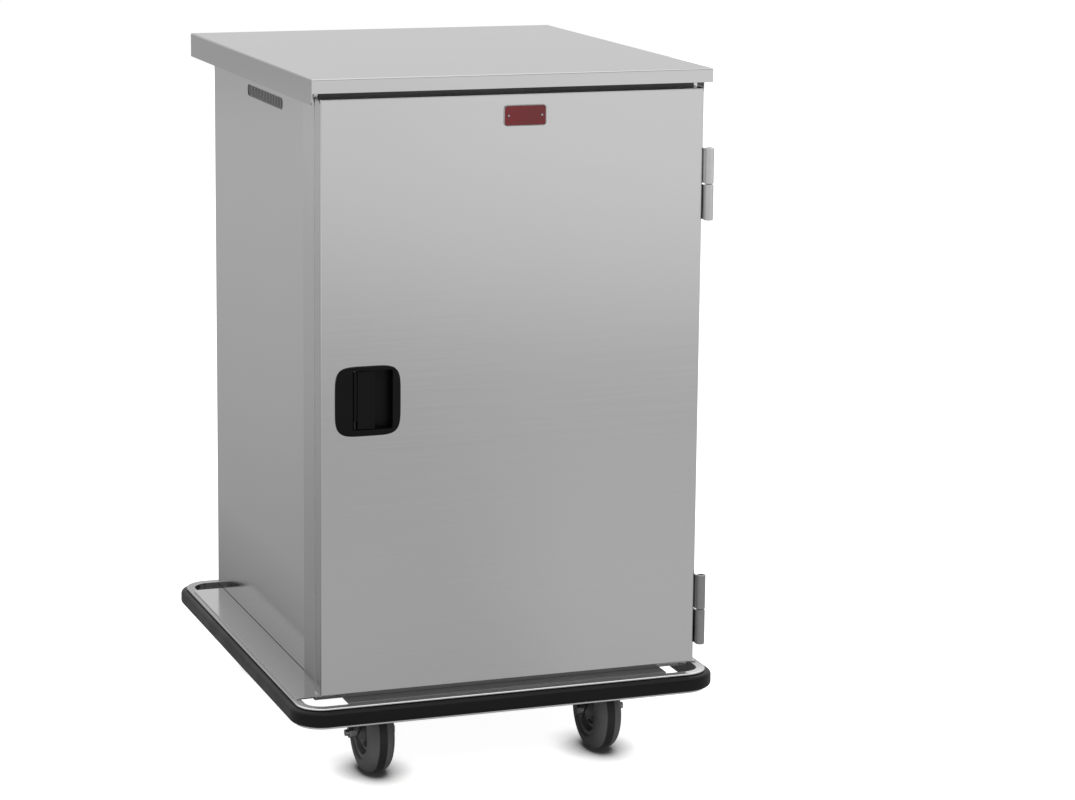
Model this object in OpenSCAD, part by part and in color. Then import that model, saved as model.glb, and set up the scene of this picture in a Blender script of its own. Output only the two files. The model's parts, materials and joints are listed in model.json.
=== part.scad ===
// Enclosed meal tray cart: stainless sheet metal cabinet with one hinged door,
// a tray rack inside, a perimeter bumper and four swivel casters. Millimetres.
// X is across the door, Y runs to the back, Z is up. The origin is on the floor,
// under the middle of the bumper.

/* [Cabinet] */
// Height of the cart over the top cap
cart_h = 1292; // [1285:1:1340]
// Distance across the outer faces of the side panels
cabinet_w = 652; // [648:1:656]
// Thickness of the cabinet sheet
sheet_t = 1.5; // [1.2:0.1:1.8]
// Depth of the front lip of the top cap
cap_front_lip = 25.4; // [22:0.2:28]
// Depth of the side and rear lips of the top cap
cap_side_lip = 45.5; // [40:0.5:48]
// Height of the ventilation slot in each side panel
vent_h = 22; // [16:1:26]
// Number of slits in each vent grille
vent_slits = 23; // [12:1:26]

/* [Door] */
// Width of the door
door_w = 714; // [710:1:714]
// Thickness of the door pan
door_t = 31.5; // [30:0.5:31.5]
// Height of the bottom edge of the door above the floor
door_z0 = 193.5; // [190:0.5:195]
// Outer diameter of the hinge barrels
barrel_d = 17; // [17:0.1:18.5]
// Length of each hinge barrel
barrel_l = 131; // [120:1:140]

/* [Tray rack] */
// Number of tray levels
tray_levels = 7; // [4:1:7]
// Vertical distance between tray levels
tray_pitch = 133; // [110:1:135]
// Width of each tray ledge
ledge_w = 48; // [40:1:55]

/* [Bumper] */
// Width of the cart over the bumper strip
bumper_w = 808; // [806:1:812]
// Length of the cart over the bumper strip
bumper_l = 924; // [922:1:928]
// Outer corner radius of the bumper strip
bumper_r = 59; // [55:1:64]

/* [Casters] */
// Diameter of the caster wheels
wheel_d = 152.4; // [150:0.2:152.6]
// Width of the tyres
tyre_w = 50.8; // [46:0.2:52]
// Distance from the middle of the cart to each caster's king pin, across
caster_x = 221; // [216:1:224]
// Distance from the middle of the cart to each caster's king pin, along
caster_y = 341; // [338:1:342]
// Swivel lead: king pin to axle
swivel_lead = 38; // [34:1:38]

/* [Hidden] */
$fn = 48;

// Colours, as the object shows them
stainless = [0.66, 0.66, 0.66];
zinc = [0.62, 0.62, 0.60];
steel = [0.55, 0.55, 0.54];
black_rubber = [0.09, 0.09, 0.09];
tyre_grey = [0.24, 0.24, 0.25];
black_plastic = [0.10, 0.10, 0.10];

// Levels
deck_z = 176.5;
plate_t = 3;
cap_z0 = cart_h - sheet_t;
side_x = cabinet_w / 2;
back_y = 412;
frame_x = 358;
frame_y0 = -405;
frame_y1 = -336;
open_x = 290;
open_z0 = 205;
open_z1 = 1225;
door_x = door_w / 2;
door_y0 = -440;
door_y1 = door_y0 + door_t;
door_z1 = 1256.4;
cap_x = 372.6;
cap_y0 = -443.5;
cap_y1 = 415;
hinge_x = 366.5;
hinge_y = -447;
barrel_z = [228, 1018];
bolt_r = 4;
lip_out = 11;
web_in = 28;
wheel_r = wheel_d / 2;
axle_r = 6;
pin_r = 8;
tread_w = 14.6;
rim_w = 40;
fork_in = 29;
fork_out = 33;
latch_z = 723.7;
latch_x = -270.8;
paddle_x = -294;
paddle_y = -436;
post_y = [-280, 20, 320];
tray_z0 = 262;

// ---------- shared shapes ----------

// A flat rectangle from one corner to the other with round corners
module round_rect(x0, y0, x1, y1, r) {
    translate([x0 + r, y0]) square([x1 - x0 - 2 * r, y1 - y0]);
    translate([x0, y0 + r]) square([x1 - x0, y1 - y0 - 2 * r]);
    for (x = [x0 + r, x1 - r], y = [y0 + r, y1 - r])
        translate([x, y]) circle(r = r);
}

// A flat rectangle whose corners at the low y side are round
module low_round_rect(x0, y0, x1, y1, r) {
    translate([x0 + r, y0]) square([x1 - x0 - 2 * r, y1 - y0]);
    translate([x0, y0 + r]) square([x1 - x0, y1 - y0 - r]);
    for (x = [x0 + r, x1 - r])
        translate([x, y0 + r]) circle(r = r);
}

// A box between two corners
module block(a, b) {
    translate(a) cube(b - a);
}

// Extrudes a flat shape given in X and Z along Y
module along_y(y0, y1) {
    translate([0, y1, 0]) rotate([90, 0, 0]) linear_extrude(y1 - y0) children();
}

// Extrudes a flat shape given in Y and Z along X
module along_x(x0, x1) {
    translate([x0, 0, 0]) rotate([90, 0, 90]) linear_extrude(x1 - x0) children();
}

// A disc or rod along X
module rod_x(x0, x1, r) {
    translate([x0, 0, 0]) rotate([0, 90, 0]) cylinder(h = x1 - x0, r = r);
}

// A disc or rod along Y
module rod_y(y0, y1, r) {
    translate([0, y1, 0]) rotate([90, 0, 0]) cylinder(h = y1 - y0, r = r);
}

module mirror_x(on) {
    if (on) mirror([1, 0, 0]) children();
    else children();
}

module mirror_y(on) {
    if (on) mirror([0, 1, 0]) children();
    else children();
}

// ---------- cabinet ----------

module cap_block(g, r, z0) {
    intersection() {
        along_y(cap_y0 + g, cap_y1 - g)
            mirror([0, 1]) low_round_rect(-cap_x + g, -cart_h + g, cap_x - g, -z0, r);
        along_x(-cap_x + g, cap_x - g)
            mirror([0, 1]) low_round_rect(cap_y0 + g, -cart_h + g, cap_y1 - g, -z0, r);
    }
}

module top_cap() {
    side_z = cart_h - cap_side_lip;
    front_z = cart_h - cap_front_lip;
    color(stainless)
        difference() {
            cap_block(0, 3, side_z);
            cap_block(sheet_t, 1.5, side_z - 1);
            block([-cap_x + sheet_t, cap_y0 - 1, side_z - 1],
                  [cap_x - sheet_t, cap_y0 + sheet_t + 0.5, front_z]);
            block([cap_x - sheet_t - 1, cap_y0 - 1, side_z - 1],
                  [cap_x + 1, cap_y0 + 39.5, front_z]);
            for (s = [-1, 1])
                translate([s * cap_x, cap_y0, side_z])
                    rotate([45, 0, 0]) cube([6, 8, 8], center = true);
        }
}

module top_inner_panel() {
    color(steel)
        block([-side_x + sheet_t, frame_y1 + sheet_t, 1240], [side_x - sheet_t, 409, 1241.2]);
}

module side_panel(right) {
    color(stainless)
        mirror_x(right)
            difference() {
                union() {
                    block([-side_x, frame_y1, deck_z], [-side_x + sheet_t, back_y - 1.5, cap_z0]);
                    block([-side_x, frame_y1, deck_z],
                          [-side_x + 20, back_y - 1.5, deck_z + sheet_t]);
                    block([-side_x, frame_y1, cap_z0 - sheet_t],
                          [-side_x + 20, back_y - 1.5, cap_z0]);
                    block([-side_x, frame_y1, deck_z],
                          [-side_x + 20, frame_y1 + sheet_t, cap_z0]);
                    block([-side_x, back_y - 3, deck_z],
                          [-side_x + 20, back_y - 1.5, cap_z0]);
                }
                along_x(-side_x - 1, -side_x + sheet_t + 0.2)
                    round_rect(-91, 1208 - vent_h / 2, 159, 1208 + vent_h / 2,
                               vent_h / 2 - 0.2);
            }
}

module back_panel() {
    color(stainless)
        block([-side_x, back_y - 1.5, deck_z], [side_x, back_y, cap_z0]);
}

module floor_pan() {
    x = side_x - sheet_t;
    color(steel) {
        block([-x, frame_y1 + sheet_t, 198], [x, 409, 199.5]);
        for (s = [-1, 1])
            block([s > 0 ? x - 1.5 : -x, frame_y1 + sheet_t, deck_z + sheet_t],
                  [s > 0 ? x : -x + 1.5, 409, 198.5]);
    }
}

// Flat ring between an outer rectangle and the door opening
module frame_ring(x, z0, z1, ix, iz0, iz1) {
    difference() {
        translate([-x, z0]) square([2 * x, z1 - z0]);
        translate([-ix, iz0]) square([2 * ix, iz1 - iz0]);
    }
}

module front_frame() {
    t = sheet_t;
    color(stainless)
        difference() {
            union() {
                along_y(frame_y0, frame_y1)
                    frame_ring(frame_x, deck_z + 8, cap_z0, open_x, open_z0, open_z1);
                block([-frame_x, frame_y0, deck_z], [frame_x, frame_y0 + t, deck_z + 9]);
                for (s = [-1, 1])
                    block([s > 0 ? frame_x - t : -frame_x, frame_y0, deck_z],
                          [s > 0 ? frame_x : -frame_x + t, frame_y1, deck_z + 9]);
            }
            along_y(frame_y0 + t, frame_y1 - t)
                frame_ring(frame_x - t, deck_z + 8 + t, cap_z0 - t,
                           open_x + t, open_z0 - t, open_z1 + t);
            along_y(frame_y1 - 2 * t, frame_y1 + 1)
                frame_ring(side_x - 22, deck_z + 8 + t, cap_z0 - t,
                           open_x + t, open_z0 - t, open_z1 + t);
        }
}

module vent_grilles() {
    pitch = 250 / vent_slits;
    color(black_plastic)
        for (s = [false, true])
            mirror_x(s)
                difference() {
                    along_x(-side_x + sheet_t, -side_x + sheet_t + 1.5)
                        round_rect(-103, 1192, 171, 1224, 4);
                    for (i = [0 : vent_slits - 1])
                        block([-side_x, -91 + pitch * (i + 0.5) - 2.6, 1199],
                              [-side_x + 6, -91 + pitch * (i + 0.5) + 2.6, 1217]);
                }
}

module rack_uprights(right) {
    x0 = -side_x + sheet_t;
    color(steel)
        mirror_x(right)
            difference() {
                for (y = post_y)
                    translate([0, y, 199.5])
                        linear_extrude(1240 - 199.5) {
                            translate([-open_x - 1.5, -20]) square([1.5, 40]);
                            for (s = [-1, 1]) {
                                translate([x0, s * 19.25 - 0.75]) square([-open_x - x0, 1.5]);
                                translate([x0, s * 25 - 6]) square([1.5, 12]);
                            }
                        }
                block([x0 - 1, -105, 1190], [x0 + 2, 173, 1226]);
            }
}

module tray_slides(right) {
    color(steel)
        mirror_x(right)
            for (i = [0 : tray_levels - 1])
                translate([0, 0, tray_z0 + tray_pitch * i]) {
                    block([-open_x, -330, -1.5], [-open_x + 1.5, 400, 22]);
                    block([-open_x, -330, -1.5], [-open_x + ledge_w + 2, 400, 0]);
                    block([-open_x, 398.5, -1.5], [-open_x + ledge_w + 2, 400, 22]);
                }
}

module strike_bracket() {
    color(zinc)
        difference() {
            union() {
                block([-352, -407.5, latch_z - 20], [-318, frame_y0, latch_z + 20]);
                block([-341, -429, latch_z - 14], [-338, -407.5, latch_z + 14]);
            }
            block([-345, -426, latch_z - 10], [-335, -411, latch_z + 10]);
        }
}

// ---------- base ----------

module deck_plate(right) {
    color(stainless)
        mirror_x(right) {
            block([-386, -384, deck_z - plate_t], [-305.5, 374, deck_z]);
            block([-308.5, -262, 140], [-305.5, 252, deck_z - plate_t]);
        }
}

module base_channel(rear) {
    color(stainless)
        mirror_y(rear)
            difference() {
                union() {
                    block([-305, -437, deck_z - plate_t], [305, -250, deck_z]);
                    block([-305, -253, 140], [305, -250, deck_z - 1]);
                }
                for (sx = [-1, 1])
                    translate([sx * caster_x, -caster_y, 0])
                        bolt_places() cylinder(h = 300, r = bolt_r + 0.25);
            }
}

module ring_plan(g, r) {
    round_rect(-bumper_w / 2 + g, -bumper_l / 2 + g, bumper_w / 2 - g, bumper_l / 2 - g, r);
}

module bumper_channel() {
    color(stainless)
        difference() {
            union() {
                translate([0, 0, 135])
                    linear_extrude(deck_z - plate_t - 135)
                        ring_plan(web_in - 3, bumper_r - web_in + 3);
                for (z = [135, deck_z - plate_t - 5])
                    translate([0, 0, z])
                        linear_extrude(5) ring_plan(lip_out, bumper_r - lip_out);
            }
            translate([0, 0, 130])
                linear_extrude(60) ring_plan(web_in, bumper_r - web_in);
        }
}

// Section of the rubber strip: flat in front, with rounded upper and lower edges
module strip_section() {
    h = 28.5 / 2;
    e = 8;
    x = 14 + lip_out;
    translate([0, -h]) square([x - e, 2 * h]);
    translate([0, -h + e]) square([x, 2 * h - 2 * e]);
    for (s = [-1, 1])
        translate([x - e, s * (h - e)]) circle(r = e);
}

module strip_run(length) {
    rotate([90, 0, 0]) translate([0, 0, -length / 2]) linear_extrude(length) strip_section();
}

module bumper_strip() {
    zc = 154.25;
    x = bumper_w / 2 - lip_out - 14;
    y = bumper_l / 2 - lip_out - 14;
    r = bumper_r - lip_out - 14;
    color(black_rubber)
        translate([0, 0, zc]) {
            for (s = [0, 1])
                rotate([0, 0, 180 * s]) {
                    translate([x, 0, 0]) strip_run(2 * (y - r));
                    translate([0, y, 0]) rotate([0, 0, 90]) strip_run(2 * (x - r));
                    translate([x - r, y - r, 0])
                        rotate_extrude(angle = 90, $fn = 96)
                            translate([r, 0]) strip_section();
                    translate([x - r, -y + r, 0]) rotate([0, 0, -90])
                        rotate_extrude(angle = 90, $fn = 96)
                            translate([r, 0]) strip_section();
                }
        }
}

// ---------- hinges ----------

module screw_head(r, h) {
    difference() {
        union() {
            cylinder(h = h - 0.8, r = r);
            translate([0, 0, h - 0.8]) cylinder(h = 0.8, r1 = r, r2 = r - 0.9);
        }
        translate([0, 0, h - 1.1]) rotate([0, 0, 30]) cylinder(h = 2, r = r * 0.5, $fn = 6);
    }
}

module barrel(z0, z1) {
    r = barrel_d / 2;
    translate([hinge_x, hinge_y, z0]) {
        translate([0, 0, 0.8]) cylinder(h = z1 - z0 - 1.6, r = r);
        cylinder(h = 0.8, r1 = r - 0.8, r2 = r);
        translate([0, 0, z1 - z0 - 0.8]) cylinder(h = 0.8, r1 = r, r2 = r - 0.8);
    }
}

module hinge_frame_leaf(z) {
    zs = z + barrel_l / 2 - 0.8;
    color(zinc)
        difference() {
            union() {
                barrel(z, zs);
                block([frame_x, hinge_y, z + 1], [frame_x + 3, -345, zs - 1]);
            }
            translate([hinge_x, hinge_y, z - 1]) cylinder(h = barrel_l, r = 4.03);
        }
}

module hinge_door_leaf(z) {
    zs = z + barrel_l / 2 + 0.8;
    color(zinc)
        difference() {
            union() {
                barrel(zs, z + barrel_l);
                block([door_x, hinge_y, zs + 1], [door_x + 3, -412, z + barrel_l - 1]);
            }
            translate([hinge_x, hinge_y, z - 1]) cylinder(h = barrel_l + 4, r = 4.06);
        }
}

module hinge_pins() {
    color(steel)
        for (z = barrel_z)
            translate([hinge_x, hinge_y, z + 2]) {
                cylinder(h = barrel_l - 3, r = 4);
            }
}

module frame_screws() {
    color(steel)
        for (z = barrel_z, i = [0 : 2])
            translate([frame_x + 3, i == 1 ? -352 : -388, z + 12 + 21 * i])
                rotate([0, 90, 0]) screw_head(4.5, 2.4);
}

module door_screws() {
    color(steel)
        for (z = barrel_z, i = [0 : 2])
            translate([door_x + 3, -421, z + 77 + 21 * i])
                rotate([0, 90, 0]) screw_head(4.5, 2.4);
}

// ---------- door ----------

module door_block(g, r, y1) {
    intersection() {
        translate([0, 0, door_z0 + g])
            linear_extrude(door_z1 - door_z0 - 2 * g)
                low_round_rect(-door_x + g, door_y0 + g, door_x - g, y1, r);
        rotate([90, 0, 90]) translate([0, 0, -door_x])
            linear_extrude(2 * door_x)
                union() {
                    translate([door_y0 + g, door_z0 + g + r])
                        square([y1 - door_y0 - g, door_z1 - door_z0 - 2 * g - 2 * r]);
                    translate([door_y0 + g + r, door_z0 + g])
                        square([y1 - door_y0 - g - r, door_z1 - door_z0 - 2 * g]);
                    for (z = [door_z0 + g + r, door_z1 - g - r])
                        translate([door_y0 + g + r, z]) circle(r = r);
                }
    }
}

module door_skin() {
    color(stainless)
        difference() {
            door_block(0, 3, door_y1);
            door_block(sheet_t, 1.5, door_y1 - sheet_t);
            block([-347, door_y1 - 3, 204], [347, door_y1 + 1, 1246]);
            block([-301, door_y0 - 1, 669.5], [-223, door_y0 + 3, 781]);
        }
}

module door_liner() {
    color(stainless)
        difference() {
            block([-347, door_y1 - sheet_t, 204], [347, door_y1, 1246]);
            block([-345, door_y1 - 3, latch_z - 16], [-334, door_y1 + 1, latch_z + 16]);
        }
}

module door_gasket() {
    color(black_rubber)
        along_y(door_y1, -405.3)
            difference() {
                round_rect(-312, 194.6, 312, 1245, 10);
                round_rect(-300, 203.4, 300, 1233, 4);
            }
}

module door_stiffeners() {
    y0 = door_y0 + sheet_t;
    y1 = door_y1 - sheet_t;
    color(steel)
        for (x = [-60, 170])
            translate([x, 0, 215])
                linear_extrude(1020) {
                    translate([-30, y0]) square([60, 1.5]);
                    for (s = [-1, 1]) {
                        translate([s * 29.25 - 0.75, y0]) square([1.5, y1 - y0]);
                        translate([s * 36 - 8, y1 - 1.5]) square([16, 1.5]);
                    }
                }
}

module name_plate() {
    color([0.42, 0.08, 0.09])
        translate([17, 0, 1218])
            along_y(door_y0 - 1.5, door_y0) round_rect(-38, -17, 38, 17, 5);
}

// ---------- latch ----------

// Outline of the latch bezel: a square with bowed sides and blunt corners
function blunt(v) = sign(v) * pow(abs(v), 2 / 5);

module bezel_plan(g) {
    polygon([for (i = [0 : 79])
        let(a = 4.5 * i)
        [(59.75 - g) * blunt(cos(a)), (62.25 - g) * blunt(sin(a))]]);
}

module latch_housing() {
    y0 = door_y0;
    color(black_plastic) {
        difference() {
            union() {
                hull() {
                    translate([latch_x, 0, latch_z])
                        along_y(y0 - 2.2, y0) bezel_plan(0);
                    translate([latch_x, 0, latch_z])
                        along_y(y0 - 4, y0 - 2) bezel_plan(2.2);
                }
                block([-300.5, y0 - 0.1, 670], [-290, paddle_y + 5, 672.4]);
                block([-300.5, y0 - 0.1, 778.8], [-290, paddle_y + 5, 780.6]);
                block([-279, -438, 670], [-223.5, -421, 780.6]);
                block([-250, y0 - 0.1, 670], [-223.5, -421, 780.6]);
            }
            along_y(y0 - 5, y0 + 0.05)
                translate([0, 725.6]) round_rect(-299.5, -53, -226, 53, 4);
            block([-277, y0 - 1, 672.6], [-226, -423, 778.6]);
            translate([paddle_x, paddle_y, 600]) cylinder(h = 300, r = 2.02);
        }
        difference() {
            block([-328, y0 + sheet_t, 706], [-318, door_y1 - sheet_t, 741]);
            block([-340, -419.9, latch_z - 8.4], [-310, -411.1, latch_z + 8.4]);
        }
    }
}

module paddle_pin() {
    color(steel)
        translate([paddle_x, paddle_y, 668.5]) cylinder(h = 113.5, r = 2);
}

module latch_spring() {
    color(steel)
        difference() {
            union() {
                translate([paddle_x, paddle_y, 673]) cylinder(h = 13, r = 3.6);
                translate([paddle_x, paddle_y + 2.4, 673]) cube([1.2, 20, 1.2]);
            }
            translate([paddle_x, paddle_y, 670]) cylinder(h = 20, r = 2.3);
        }
}

module latch_paddle() {
    color(black_plastic)
        difference() {
            union() {
                translate([0, 0, 687]) translate([paddle_x, paddle_y, 0])
                    cylinder(h = 89.5, r = 4);
                block([-290, -442.5, 674], [-259, -439.5, 777]);
                block([-294, -440, 688], [-289, -436, 776.5]);
                block([-262, -441, 676], [-259, -433, 775]);
                block([-295.5, -436, latch_z - 4], [-292.5, -414, latch_z + 4]);
                translate([paddle_x, -414, latch_z - 4]) cylinder(h = 8, r = 2.5);
            }
            translate([paddle_x, paddle_y, 600]) cylinder(h = 300, r = 2.06);
            translate([0, 0, latch_z])
                along_y(-444, -441.9) round_rect(-287, -49, -264, 49, 3);
        }
}

module latch_bolt() {
    color(zinc)
        difference() {
            block([-346, -419.5, latch_z - 8], [-284, -411.5, latch_z + 8]);
            block([-297.6, -422, latch_z - 4.6], [-291.1, -408, latch_z + 4.6]);
            translate([-346, -419.5, latch_z])
                rotate([0, 0, 45]) cube([4, 4, 40], center = true);
        }
}

// ---------- casters ----------

// Places the four mounting bolts of one caster around its king pin
module bolt_places() {
    for (x = [-47.5, 47.5], y = [-36.5, 36.5])
        translate([x, y, 0]) children();
}

// Puts a caster's parts under its king pin: side -1 or 1, end -1 (front) or 1 (rear).
// Every caster trails towards the back, as in the photographed pose.
module at_caster(side, end) {
    translate([side * caster_x, end * caster_y, 0]) children();
}

module caster_plate(side, end) {
    z1 = deck_z - plate_t;
    color(zinc)
        at_caster(side, end)
            difference() {
                union() {
                    translate([0, 0, z1 - 4]) linear_extrude(4) round_rect(-57, -49, 57, 49, 8);
                    translate([0, 0, z1 - 9]) cylinder(h = 6, r = 32);
                    translate([0, 0, z1 - 11]) cylinder(h = 3, r1 = 29, r2 = 32);
                }
                bolt_places() cylinder(h = 300, r = bolt_r + 0.25);
                cylinder(h = 300, r = pin_r + 0.05);
            }
}

module caster_bolts() {
    z1 = deck_z - plate_t;
    color(zinc)
        for (sx = [-1, 1], sy = [-1, 1])
            translate([sx * caster_x, sy * caster_y, 0])
                bolt_places() {
                    translate([0, 0, z1 - 9.2]) cylinder(h = 5.2, r = 7, $fn = 6);
                    translate([0, 0, z1 - 5]) cylinder(h = 15.5, r = bolt_r);
                    translate([0, 0, deck_z]) cylinder(h = 5.5, r = 7, $fn = 6);
                }
}

module caster_kingpins() {
    color(steel)
        for (sx = [-1, 1], sy = [-1, 1])
            translate([sx * caster_x, sy * caster_y, 0]) {
                translate([0, 0, 150.4]) cylinder(h = 5.2, r = 12);
                translate([0, 0, 150.4]) cylinder(h = 22.5, r = pin_r);
            }
}

module fork(side, end) {
    color(zinc)
        at_caster(side, end)
            difference() {
                union() {
                    translate([0, 0, 156])
                        linear_extrude(4.5) round_rect(-fork_out, -30, fork_out, 44, 10);
                    difference() {
                        translate([0, 0, 160.5]) cylinder(h = 7.2, r = 36);
                        translate([0, 0, 160.5]) cylinder(h = 10, r = 33);
                    }
                    for (s = [-1, 1])
                        along_x(s > 0 ? fork_in : -fork_out, s > 0 ? fork_out : -fork_in) {
                            polygon([[-22, 160.5], [-24, 152], [23.1, 74.5],
                                     [38, 61.2], [52.8, 74.5], [44, 150], [40, 160.5]]);
                            translate([swivel_lead, wheel_r]) circle(r = 15);
                        }
                    if (end > 0)
                        translate([0, swivel_lead, 122])
                            mirror_x(side > 0) {
                                rod_x(-fork_out - 3.8, -fork_out + 0.5, 4);
                                rod_x(-fork_out - 6, -fork_out - 3.8, 6.5);
                            }
                }
                cylinder(h = 300, r = pin_r + 0.06);
                translate([0, swivel_lead, wheel_r]) rod_x(-60, 60, axle_r + 0.05);
            }
}

module axle(side, end) {
    color(zinc)
        at_caster(side, end)
            translate([0, swivel_lead, wheel_r])
                mirror_x(side > 0) {
                    rod_x(-fork_out - 18, fork_out + 2.5, axle_r);
                    rod_x(-fork_out - 2, -fork_out, 12.5);
                    rod_x(fork_out, fork_out + 2, 12.5);
                    rotate([0, 90, 0]) translate([0, 0, -fork_out - 11.5])
                        cylinder(h = 9.6, r = 10.5, $fn = 6);
                    rotate([0, 90, 0]) translate([0, 0, fork_out + 1.9])
                        cylinder(h = 7, r = 10.5, $fn = 6);
                }
}

module wheel_core(side, end) {
    color(tyre_grey)
        at_caster(side, end)
            translate([0, swivel_lead, wheel_r]) rotate([0, 90, 0])
                rotate_extrude($fn = 96) {
                    translate([axle_r + 0.06, 0.3 - fork_in]) square([9, 2 * fork_in - 0.6]);
                    translate([axle_r + 0.06, -6]) square([42, 12]);
                    translate([14, -20]) square([6, 40]);
                    translate([30, -13]) square([4, 26]);
                    translate([43, -rim_w / 2]) square([7, rim_w]);
                }
}

// Half the tyre's section: a narrow flat tread with long rounded shoulders
function shoulder(side, tread, t) =
    [for (a = [0 : 9 : 90])
        let(q = side > 0 ? a : 90 - a)
        [wheel_r - 18.2 + 18.2 * sin(q), side * (tread + (t - tread) * cos(q))]];

module tyre(side, end) {
    t = tyre_w / 2;
    color(black_rubber)
        at_caster(side, end)
            translate([0, swivel_lead, wheel_r]) rotate([0, 90, 0])
                rotate_extrude($fn = 96)
                    polygon(concat([[50, -rim_w / 2], [50, rim_w / 2], [52, t - 0.6]],
                                   shoulder(1, tread_w / 2, t), shoulder(-1, tread_w / 2, t),
                                   [[52, -t + 0.6]]));
}

// Side brake: an arm outside the fork with a foot tab, ridden on a rivet
module brake_pedal(side, end) {
    color(zinc)
        at_caster(side, end)
            mirror_x(side > 0)
                difference() {
                    union() {
                        along_x(-fork_out - 3.5, -fork_out - 0.4) {
                            translate([38, 122]) circle(r = 9);
                            translate([38, 114]) square([68, 9]);
                            translate([92, 114]) square([20, 12]);
                        }
                        block([-64, 86, 123], [-fork_out - 0.4, 112, 126]);
                        block([-64, 109, 123], [-fork_out - 0.4, 112, 129]);
                    }
                    translate([0, 38, 122]) rod_x(-60, 0, 4.06);
                }
}

// ---------- assembly ----------

top_cap();
top_inner_panel();
side_panel(false);  // side_panel_left
side_panel(true);  // side_panel_right
back_panel();
floor_pan();
front_frame();
vent_grilles();
rack_uprights(false);  // rack_uprights_left
rack_uprights(true);  // rack_uprights_right
tray_slides(false);  // tray_slides_left
tray_slides(true);  // tray_slides_right
strike_bracket();
deck_plate(false);  // deck_plate_left
deck_plate(true);  // deck_plate_right
base_channel(false);  // base_channel_front
base_channel(true);  // base_channel_rear
bumper_channel();
bumper_strip();
hinge_frame_leaf(barrel_z[1]);  // hinge_frame_leaf_upper
hinge_frame_leaf(barrel_z[0]);  // hinge_frame_leaf_lower
hinge_pins();
frame_screws();
caster_bolts();
caster_kingpins();
caster_plate(-1, -1);  // caster_plate_fl
caster_plate(1, -1);  // caster_plate_fr
caster_plate(-1, 1);  // caster_plate_rl
caster_plate(1, 1);  // caster_plate_rr
door_skin();
door_liner();
door_gasket();
door_stiffeners();
hinge_door_leaf(barrel_z[1]);  // hinge_door_leaf_upper
hinge_door_leaf(barrel_z[0]);  // hinge_door_leaf_lower
latch_housing();
door_screws();
name_plate();
paddle_pin();
latch_spring();
latch_paddle();
latch_bolt();
fork(-1, -1);  // fork_fl
fork(1, -1);  // fork_fr
fork(-1, 1);  // fork_rl
fork(1, 1);  // fork_rr
axle(-1, -1);  // axle_fl
axle(1, -1);  // axle_fr
axle(-1, 1);  // axle_rl
axle(1, 1);  // axle_rr
wheel_core(-1, -1);  // wheel_core_fl
wheel_core(1, -1);  // wheel_core_fr
wheel_core(-1, 1);  // wheel_core_rl
wheel_core(1, 1);  // wheel_core_rr
tyre(-1, -1);  // tyre_fl
tyre(1, -1);  // tyre_fr
tyre(-1, 1);  // tyre_rl
tyre(1, 1);  // tyre_rr
brake_pedal(-1, 1);  // brake_pedal_rl
brake_pedal(1, 1);  // brake_pedal_rr
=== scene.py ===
import bpy
import json
import math
from mathutils import Matrix, Vector


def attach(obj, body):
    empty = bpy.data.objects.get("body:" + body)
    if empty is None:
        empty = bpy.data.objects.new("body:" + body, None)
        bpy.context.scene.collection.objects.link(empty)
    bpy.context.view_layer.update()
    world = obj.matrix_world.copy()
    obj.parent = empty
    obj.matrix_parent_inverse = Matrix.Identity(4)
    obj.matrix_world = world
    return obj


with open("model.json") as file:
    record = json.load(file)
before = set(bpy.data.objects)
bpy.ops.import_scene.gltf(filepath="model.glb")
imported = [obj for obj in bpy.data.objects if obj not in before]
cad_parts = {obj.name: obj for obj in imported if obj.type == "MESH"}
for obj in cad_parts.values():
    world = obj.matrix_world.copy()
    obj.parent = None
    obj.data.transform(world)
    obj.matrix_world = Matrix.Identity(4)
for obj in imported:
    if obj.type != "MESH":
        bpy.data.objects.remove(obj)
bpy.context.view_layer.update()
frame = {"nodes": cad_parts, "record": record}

nodes = frame["nodes"]
print("loaded", len(nodes), "cad nodes")


def mm(value):
    return value / 1000.0


def perMetre(size):
    # the scale of a pattern whose grain has this real size in mm
    return 1000.0 / size


def hexColour(text):
    # sRGB hex to the linear values that Blender's sockets take
    parts = [int(text[i:i + 2], 16) / 255.0 for i in (1, 3, 5)]
    linear = [c / 12.92 if c <= 0.04045 else ((c + 0.055) / 1.055) ** 2.4 for c in parts]
    return (*linear, 1.0)


def grey(level):
    return (level, level, level, 1.0)


def addNode(tree, kind, inputs=None, settings=None, stops=()):
    # inputs are values or sockets to link, settings are the node's own properties, and
    # stops are the (place, colour) pairs of a colour ramp, which starts with two
    made = tree.nodes.new(kind)
    for name, value in (settings or {}).items():
        setattr(made, name, value)
    for name, value in (inputs or {}).items():
        if isinstance(value, bpy.types.NodeSocket):
            tree.links.new(value, made.inputs[name])
        else:
            made.inputs[name].default_value = value
    for extra in stops[2:]:
        made.color_ramp.elements.new(0.5)
    if stops:
        for element, (place, colour) in zip(made.color_ramp.elements, stops):
            element.position = place
            element.color = colour
    return made


def newMaterial(name):
    material = bpy.data.materials.new(name)
    material.use_nodes = True
    material.node_tree.nodes.clear()
    return material, material.node_tree


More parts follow.
